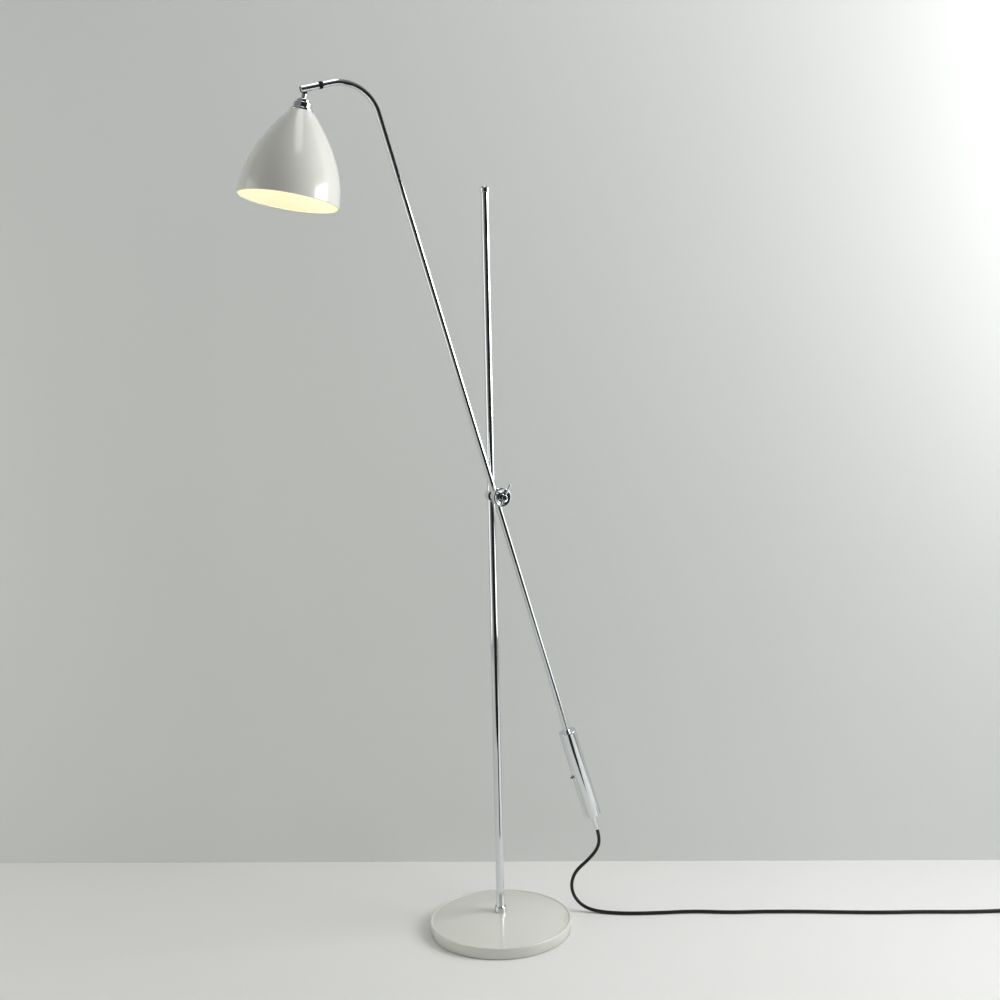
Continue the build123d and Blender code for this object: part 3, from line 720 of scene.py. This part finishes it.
def make_counterweight():
    """The sleeve, the lead's outlet, the switch's nut and its lever, all turned outlines.
    The lever is a ball pivot, a straight rod and a small ball at its tip."""
    top, low = -WEIGHT_START, -WEIGHT_START - WEIGHT_L
    seat_r, seat_l = ARM_R + 0.05 * MM, 34 * MM
    hollow_r, mouth_r, mouth_l = 9 * MM, 11 * MM, 6 * MM
    body = rounded([
        (mouth_r, low), (WEIGHT_R, low, 0.8 * MM), (WEIGHT_R, top, 0.8 * MM), (seat_r, top),
        (seat_r, top - seat_l), (hollow_r, top - seat_l), (hollow_r, low + mouth_l),
        (mouth_r, low + mouth_l)], looped=True)
    piece = turned("counterweight_sleeve", body, ARM, 128, looped=True)
    finish_piece(piece, "arm", MATERIALS["chrome"], "chrome_weight", "counterweight")
    end, inner_end, outlet_r = low - OUTLET_L, low + 10 * MM, 4.3 * MM
    outlet = rounded([
        (LEAD_R, end), (3.6 * MM, end, 0.3 * MM), (3.9 * MM, end + 8 * MM, 4 * MM),
        (outlet_r, end + 20 * MM, 4 * MM), (outlet_r, inner_end), (LEAD_R, inner_end)],
        looped=True)
    piece = turned("lead_outlet_sleeve", outlet, ARM, 64, looped=True)
    finish_piece(piece, "arm", MATERIALS["chrome"], "chrome", "cord_outlet")
    side = ARM @ place((0, 0, -SWITCH_AT), (-1, 0, 0), (0, 1, 0))
    neck_r, rim_r, nut_from, rim_from, nut_end = (
        3.6 * MM, 4.6 * MM, 5.0 * MM, 13.6 * MM, 15.2 * MM)
    nut = rounded([
        (1.7 * MM, nut_from), (neck_r, nut_from), (neck_r, rim_from), (rim_r, rim_from),
        (rim_r, nut_end, 0.5 * MM), (2.7 * MM, nut_end)], looped=True)
    piece = turned("switch_round_nut", nut, side, 48, looped=True)
    finish_piece(piece, "arm", MATERIALS["chrome"], "chrome", "switch_nut")
    pivot, pivot_r, tip, tip_r, rod_r = 9.0 * MM, 1.6 * MM, 17.8 * MM, 1.25 * MM, 0.9 * MM
    below = np.linspace(-math.pi / 2, math.radians(50), 12)
    above = np.linspace(-math.radians(48), math.pi / 2, 14)
    lever = np.concatenate([
        np.stack([pivot_r * np.cos(below), pivot + pivot_r * np.sin(below)], 1),
        [[rod_r, pivot + 2.0 * MM], [rod_r, tip - 1.6 * MM]],
        np.stack([tip_r * np.cos(above), tip + tip_r * np.sin(above)], 1)])
    lever[0, 0] = lever[-1, 0] = 0
    piece = turned("switch_toggle_lever", lever, side, 32)
    finish_piece(piece, "switch", MATERIALS["dark"], "dark_metal", "switch_lever")


def make_holder():
    """The stepped cap, the shade's collar and the threaded body, all turned outlines with
    heights along the head's axis from the knuckle's pin."""
    crown_r, step_r, crown_top, step_top = 10.2 * MM, 14.2 * MM, -17.0 * MM, -22.8 * MM
    bore, cap_foot, body_top = 12.65 * MM, -33.4 * MM, -27.4 * MM
    cap = rounded([
        (0, body_top), (bore, body_top), (bore, cap_foot), (step_r, cap_foot),
        (step_r, step_top, 1.4 * MM), (crown_r, step_top + 0.4 * MM, 0.5 * MM),
        (crown_r, crown_top - 1.4 * MM, 1.6 * MM), (8.8 * MM, crown_top, 1.6 * MM),
        (0, crown_top)])
    piece = turned("lampholder_stepped_cap", cap, HEAD, 80)
    finish_piece(piece, "head", MATERIALS["chrome"], "chrome", "holder_cap")
    low, top = -SHADE_TOP, -SHADE_TOP + 3.4 * MM
    collar_bore, collar_r = 14.25 * MM, 17.6 * MM
    collar = rounded([
        (collar_bore, low), (collar_r, low, 0.6 * MM), (collar_r, top, 1.2 * MM),
        (collar_bore, top)], looped=True)
    piece = turned("shade_top_collar", collar, HEAD, 80, looped=True)
    finish_piece(piece, "head", MATERIALS["chrome"], "chrome", "shade_collar")
    body_r, body_bore, body_foot, rows = 12.2 * MM, 10.6 * MM, -66.0 * MM, 120
    pitch, ridge = 2.6 * MM, 0.35 * MM

    def thread(angle, along):
        """A helix: the sine of the angle plus a whole turn for each pitch along."""
        return ridge * np.sin(2 * math.pi * along / pitch + angle)

    heights = np.linspace(body_foot, body_top, rows)
    outside = np.stack([np.full(rows, body_r), heights], 1)
    inside = np.array([(body_bore, body_top), (body_bore, body_foot)])
    body = np.concatenate([outside, inside])
    piece = turned("lampholder_threaded_body", body, HEAD, 80, looped=True, wave=thread)
    finish_piece(piece, "head", MATERIALS["black"], "black_plastic", "holder_body")


# The bell's half width at depths below its top, both in millimetres.
BELL_DEPTHS = [0, 10, 17, 35, 50, 62, 75, 90, 105, 120, 135]
BELL_WIDTHS = [17.6, 26.0, 31.2, 43.4, 52.3, 58.6, 64.0, 69.0, 72.5, 74.7, 75.5]


def shade_outline(inset=0.0):
    """The bell as (across, along): a fifth-degree Chebyshev curve fitted to its widths,
    less the inset."""
    depth = np.array(BELL_DEPTHS) * MM
    across = np.array(BELL_WIDTHS) * MM
    fine = np.linspace(0, 1, 90) * SHADE_L
    weights = np.polynomial.chebyshev.chebfit(depth / SHADE_L * 2 - 1, across, 5)
    smooth = np.polynomial.chebyshev.chebval(fine / SHADE_L * 2 - 1, weights)
    return np.stack([smooth - inset, -SHADE_TOP - fine], 1)


def make_shade():
    """The bell: its outer curve, a rolled rim of three quarters of a circle, the same
    curve one wall further in, and a flat crown with a hole for the lampholder."""
    segments, hole, bead_r = 200, 12.9 * MM, 1.0 * MM
    top, low = -SHADE_TOP, -SHADE_TOP - SHADE_L
    outer = shade_outline()
    bead_angle = np.linspace(0, 1.5 * math.pi, 16)
    rim = np.stack([
        outer[-1, 0] - bead_r + bead_r * np.cos(bead_angle),
        low + bead_r - bead_r * np.sin(bead_angle)], 1)
    inner = shade_outline(SHADE_WALL)[::-1]
    clear_of_rim = inner[:, 1] > low + 2.6 * MM
    clear_of_crown = inner[:, 1] < top - 1.5 * SHADE_WALL
    inner = inner[clear_of_rim & clear_of_crown]
    crown = np.array([(hole, top - SHADE_WALL), (hole, top)])
    outer = outer[outer[:, 1] > low + 1.2 * MM]
    outline = np.concatenate([crown, outer, rim, inner])
    piece = turned("bell_shade", outline[::-1], HEAD, segments, looped=True)
    piece.data.materials.append(MATERIALS["enamel"])
    piece.data.materials.append(MATERIALS["lining"])
    slots = np.zeros((len(outline), segments), np.int32)
    slots[:len(inner) + 1] = 1
    piece.data.polygons.foreach_set("material_index", slots.ravel())
    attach(piece, "head")
    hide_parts("shade")


def make_bulb():
    """A globe whose neck flares to it from the metal cap, turned, with the globe's arc
    running from the neck's end to its pole."""
    neck_top, flare_r, flare_z = -72.0 * MM, 14.6 * MM, -82.6 * MM
    neck = rounded([
        (0, neck_top), (10.0 * MM, neck_top, 0.5 * MM),
        (10.6 * MM, neck_top - 4 * MM, 6 * MM), (flare_r, flare_z)], steps=6)
    start = math.atan2(flare_z - BULB_MIDDLE, flare_r)
    angle = np.linspace(start, -math.pi / 2, 40)[1:]
    globe = np.stack([BULB_R * np.cos(angle), BULB_MIDDLE + BULB_R * np.sin(angle)], 1)
    globe[-1, 0] = 0
    outline = np.concatenate([neck, globe])[::-1]
    piece = turned("bulb_opal_globe", outline, HEAD, 80)
    finish_piece(piece, "head", MATERIALS["opal"], "bulb_glass", "bulb_glass")


# Pieces that stay as CAD made them, with the finish of each.
CAD_FINISHES = {
    "base_weight": "iron", "base_pad": "felt", "stud_washer": "steel", "stud_nut": "steel",
    "stem_stud": "steel", "stem_bush": "nylon", "arm_bush": "nylon", "clamp_barrel": "chrome",
    "clamp_shoe": "brass", "swivel_ring": "chrome", "arm_eye": "chrome", "arm_spigot": "steel",
    "weight_screw": "steel", "weight_end_plug": "chrome", "cord_inside": "lead",
    "outlet_nut": "brass", "switch_body": "black", "knuckle_housing": "chrome",
    "knuckle_pin": "steel", "neck": "chrome", "holder_insulator": "ceramic", "shade_ring": "black",
    "bulb_cap": "brass", "coil_tie": "black", "plug_relief": "black", "plug_body": "black",
    "plug_pins": "brass",
}


def finish_cad_nodes():
    """Each CAD piece that is left keeps its mesh and gets its own finish."""
    for name, finish in CAD_FINISHES.items():
        data = NODES[name].data
        data.materials.clear()
        data.materials.append(MATERIALS[finish])


# ------------------------------------------------------------------ stage
VIEW_AROUND = 25.0        # degrees from the -Y direction towards -X
VIEW_DISTANCE = 2.0593    # metres from the stem's axis
VIEW_HEIGHT = 0.9
VIEW_PAST = 0.00816618    # radians; the view is turned this much past the stem
VIEW_DOWN = 1.5           # degrees
VIEW_ROLL = 1.2544        # degrees
VIEW_SHIFT = -0.1         # of the picture's width, upwards
SENSOR_MM = 36.0
WALL_BEHIND = 0.28        # metres from the stem's axis to the wall
WALL_YAW = 3.26           # degrees that the wall turns away from square to the view
WALL_TALL = 5.0
STAGE_HALF = 6.0          # half the width of the floor and of the wall
WORLD_LIGHT = 0.24

# Places are metres from the stem's foot: to the view's right, towards the view, and up.
# name: place, facing, (width, height), watts, colour, in reflections, on matt surfaces
LIGHTS = {
    "key": ((1.7, 0.42, 1.2), (-1, 0, 0), (1.3, 0.9), 26, "#FFFFFF", True, True),
    "high_right": ((1.5, 0.3, 2.1), (-1, 0, -0.3), (1.0, 1.2), 17, "#FFFFFF", False, True),
    "left_fill": ((-1.9, 0.5, 1.0), (1, 0, 0), (1.4, 1.9), 10, "#FFFDF8", True, True),
    "front_fill": ((0, 2.6, 1.3), (0, -2.6, -0.6), (1.6, 1.8), 5, "#FFFFFF", False, True),
    "top_light": ((0, 0.35, 2.5), (0, 0, -2), (1.3, 0.4), 3.5, "#FFFFFF", True, True),
    "low_right": ((1.7, 0.42, 0.42), (-1, 0, 0), (1.3, 0.62), 5, "#FFFFFF", True, False),
}


def make_camera(lens):
    """A nearly level view from the front left with a long lens and a slight roll."""
    scene = bpy.context.scene
    data = bpy.data.cameras.new("view")
    data.sensor_width = SENSOR_MM
    data.lens = lens
    data.shift_y = VIEW_SHIFT
    camera = bpy.data.objects.new("view", data)
    scene.collection.objects.link(camera)
    around, down, roll = (math.radians(a) for a in (VIEW_AROUND, VIEW_DOWN, VIEW_ROLL))
    aim = around + VIEW_PAST
    level = Vector((math.sin(aim), math.cos(aim), 0))
    ahead = level * math.cos(down) - Vector((0, 0, math.sin(down)))
    right = ahead.cross(Vector((0, 0, 1))).normalized()
    up = right.cross(ahead)
    x = right * math.cos(roll) - up * math.sin(roll)
    y = up * math.cos(roll) + right * math.sin(roll)
    turn = Matrix((x, y, -ahead)).transposed().to_4x4()
    spot = Vector((
        -VIEW_DISTANCE * math.sin(around), -VIEW_DISTANCE * math.cos(around), VIEW_HEIGHT))
    camera.matrix_world = Matrix.Translation(spot) @ turn
    scene.camera = camera
    scene.view_settings.view_transform = "Standard"


def area_light(name, where, facing, size, power, colour, mirrored, on_matt):
    """A rectangular soft light that the view doesn't see. Reflections leave it out unless
    it is mirrored, and matt surfaces unless it is on_matt."""
    data = bpy.data.lights.new(name, "AREA")
    data.shape = "RECTANGLE"
    data.size, data.size_y = size
    data.energy = power
    data.color = linear(colour)[:3]
    light = bpy.data.objects.new(name, data)
    bpy.context.scene.collection.objects.link(light)
    light.matrix_world = place(where, -facing, (0, 0, 1))
    light.visible_camera = False
    light.visible_glossy = mirrored
    light.visible_diffuse = on_matt


def flat_sheet(name, corners, colours, one_sided=False):
    """A flat four-sided sheet with a matt painted finish that drifts between two colours.
    A one-sided sheet is clear when it is looked at from behind."""
    mesh = bpy.data.meshes.new(name)
    mesh.from_pydata([tuple(c) for c in corners], [], [(0, 1, 2, 3)])
    piece = bpy.data.objects.new(name, mesh)
    bpy.context.scene.collection.objects.link(piece)
    material, tree, shader, coords = started(name + "_finish")
    tinted(tree, shader, speckle(tree, coords, 400.0), *colours)
    shader.inputs["Roughness"].default_value = 0.8
    if one_sided:
        facing = add(tree, "ShaderNodeNewGeometry")
        clear = add(tree, "ShaderNodeBsdfTransparent")
        mix = add(tree, "ShaderNodeMixShader", {
            0: facing.outputs["Backfacing"], 1: shader.outputs["BSDF"], 2: clear.outputs["BSDF"]})
        tree.links.new(mix.outputs["Shader"], tree.nodes["Material Output"].inputs["Surface"])
    mesh.materials.append(material)
    return piece


def painted_shade_card(name, azimuths, near, far):
    """A flat black card of painted shade that the view and the shadows leave out. It paints
    dark reflections on the chrome, and painted shade on matt surfaces unless these are
    told to leave it out. Its azimuths are in degrees from the view's own direction,
    positive to the right. near and far give the distance from the stem and the height of
    its two long edges."""
    corners = []
    for azimuth, (reach, height) in zip(azimuths + azimuths[::-1], (near, near, far, far)):
        turn = math.radians(VIEW_AROUND - azimuth)
        corners.append(Vector((-math.sin(turn) * reach, -math.cos(turn) * reach, height)))
    card = flat_sheet(name, corners, ("#050505", "#070707"))
    card.visible_camera = card.visible_shadow = False
    return card


def make_stage():
    """A pale floor, a plain wall close behind, soft light from both sides with the strong
    one on the right, and black cards of painted shade that paint the dark lines on the
    chrome as painted reflections and darken the lamp's front as painted shade."""
    around, yaw = math.radians(VIEW_AROUND), math.radians(WALL_YAW)
    back = Vector((math.sin(around), math.cos(around), 0))
    right = Vector((math.cos(around), -math.sin(around), 0))
    up = Vector((0, 0, 1))
    half = STAGE_HALF
    flat_sheet("studio_floor", [
        (-half, -half, 0), (half, -half, 0), (half, half, 0), (-half, half, 0)],
        ("#E3E3E1", "#E7E7E5"))
    wall = back * WALL_BEHIND
    side = (right * math.cos(yaw) - back * math.sin(yaw)) * half
    rise = up * WALL_TALL
    flat_sheet("studio_wall", [
        wall - side, wall + side, wall + side + rise, wall - side + rise],
        ("#E1E4E1", "#E4E6E4"), one_sided=True)
    world = bpy.data.worlds.new("studio")
    bpy.context.scene.world = world
    world.use_nodes = True
    background = world.node_tree.nodes["Background"].inputs
    background["Color"].default_value = linear("#F2F5F6")
    background["Strength"].default_value = WORLD_LIGHT
    for name, (spot, facing, *rest) in LIGHTS.items():
        spot, facing = (right * x - back * y + up * z for x, y, z in (spot, facing))
        area_light(name, spot, facing, *rest)
    # Painted shade: the front card stands for the dark room in front, both in reflections and on
    # matt surfaces. The floor card paints a dark floor in reflections only.
    painted_shade_card("front_painted_shade_card", (-20, 57), (1.25, 0.0), (1.25, 1.75))
    floor_painted_reflection_card = painted_shade_card("floor_painted_reflection_card", (14, 42), (0.42, MM), (1.3, MM))
    floor_painted_reflection_card.visible_diffuse = False


# ------------------------------------------------------------------ add-on
class LampSizes(bpy.types.PropertyGroup):
    lead_diameter: bpy.props.FloatProperty(
        name="Lead diameter", description="Outside diameter of the mains lead",
        default=LEAD_D, unit="LENGTH")
    lens: bpy.props.FloatProperty(
        name="Lens", description="Focal length of the view in millimetres", default=46.8)
    glow: bpy.props.FloatProperty(
        name="Glow", description="Brightness of the lit globe", default=5.8)


class LampColours(bpy.types.PropertyGroup):
    enamel: bpy.props.StringProperty(
        name="Enamel", description="Colour of the base and shade, as sRGB hex", default="#DDDDD6")
    enamel_shade: bpy.props.StringProperty(
        name="Enamel, low", description="The enamel where it is a little darker", default="#D9D9D1")
    chrome: bpy.props.StringProperty(
        name="Chrome", description="Colour of the chromium plate, as sRGB hex", default="#DDE0E2")
    glow: bpy.props.StringProperty(
        name="Glow", description="Colour of the lamp's light, as sRGB hex", default="#FFF8DC")


class LampStage(bpy.types.Operator):
    """Make the camera, the lights, the floor and the wall"""
    bl_idname = "floor_lamp.stage"
    bl_label = "Stage"

    def execute(self, context):
        make_camera(context.scene.lamp_sizes.lens)
        make_stage()
        return {"FINISHED"}


class LampLead(bpy.types.Operator):
    """Make the mains lead along its route, with its coil"""
    bl_idname = "floor_lamp.lead"
    bl_label = "Mains lead"

    def execute(self, context):
        make_materials(context.scene.lamp_colours, context.scene.lamp_sizes.glow)
        make_lead(context.scene.lamp_sizes.lead_diameter)
        return {"FINISHED"}


class LampBase(bpy.types.Operator):
    """Make the base's enamelled cover"""
    bl_idname = "floor_lamp.base"
    bl_label = "Base"

    def execute(self, context):
        make_base()
        return {"FINISHED"}


class LampStem(bpy.types.Operator):
    """Make the stem's tube, its foot collar and its cap"""
    bl_idname = "floor_lamp.stem"
    bl_label = "Stem"

    def execute(self, context):
        make_stem()
        return {"FINISHED"}


class LampClamp(bpy.types.Operator):
    """Make the clamp's knob and tommy bar"""
    bl_idname = "floor_lamp.clamp"
    bl_label = "Clamp"

    def execute(self, context):
        make_clamp()
        return {"FINISHED"}


class LampArm(bpy.types.Operator):
    """Make the bent arm and its locking ring"""
    bl_idname = "floor_lamp.arm"
    bl_label = "Arm"

    def execute(self, context):
        make_arm()
        return {"FINISHED"}


class LampCounterweight(bpy.types.Operator):
    """Make the counterweight with its outlet and switch"""
    bl_idname = "floor_lamp.counterweight"
    bl_label = "Counterweight"

    def execute(self, context):
        make_counterweight()
        return {"FINISHED"}


class LampHead(bpy.types.Operator):
    """Make the lampholder, the shade and the bulb"""
    bl_idname = "floor_lamp.head"
    bl_label = "Head"

    def execute(self, context):
        make_holder()
        make_shade()
        make_bulb()
        return {"FINISHED"}


class LampCadFinishes(bpy.types.Operator):
    """Give the remaining CAD pieces their finishes"""
    bl_idname = "floor_lamp.cad_finishes"
    bl_label = "CAD finishes"

    def execute(self, context):
        finish_cad_nodes()
        return {"FINISHED"}


class LampPanel(bpy.types.Panel):
    bl_idname = "VIEW3D_PT_floor_lamp"
    bl_label = "Floor lamp"
    bl_space_type = "VIEW_3D"
    bl_region_type = "UI"
    bl_category = "Floor lamp"

    def draw(self, context):
        for group in (context.scene.lamp_sizes, context.scene.lamp_colours):
            for key in group.__annotations__:
                self.layout.prop(group, key)
        for operator in OPERATORS:
            self.layout.operator(operator.bl_idname)


OPERATORS = (
    LampStage, LampLead, LampBase, LampStem, LampClamp, LampArm, LampCounterweight, LampHead,
    LampCadFinishes)
CLASSES = (LampSizes, LampColours) + OPERATORS + (LampPanel,)


def register():
    for item in CLASSES:
        bpy.utils.register_class(item)
    bpy.types.Scene.lamp_sizes = bpy.props.PointerProperty(type=LampSizes)
    bpy.types.Scene.lamp_colours = bpy.props.PointerProperty(type=LampColours)


def unregister():
    del bpy.types.Scene.lamp_colours
    del bpy.types.Scene.lamp_sizes
    for item in reversed(CLASSES):
        bpy.utils.unregister_class(item)


def main():
    register()
    for operator in OPERATORS:
        group, name = operator.bl_idname.split(".")
        getattr(getattr(bpy.ops, group), name)()


if __name__ == "__main__":
    main()
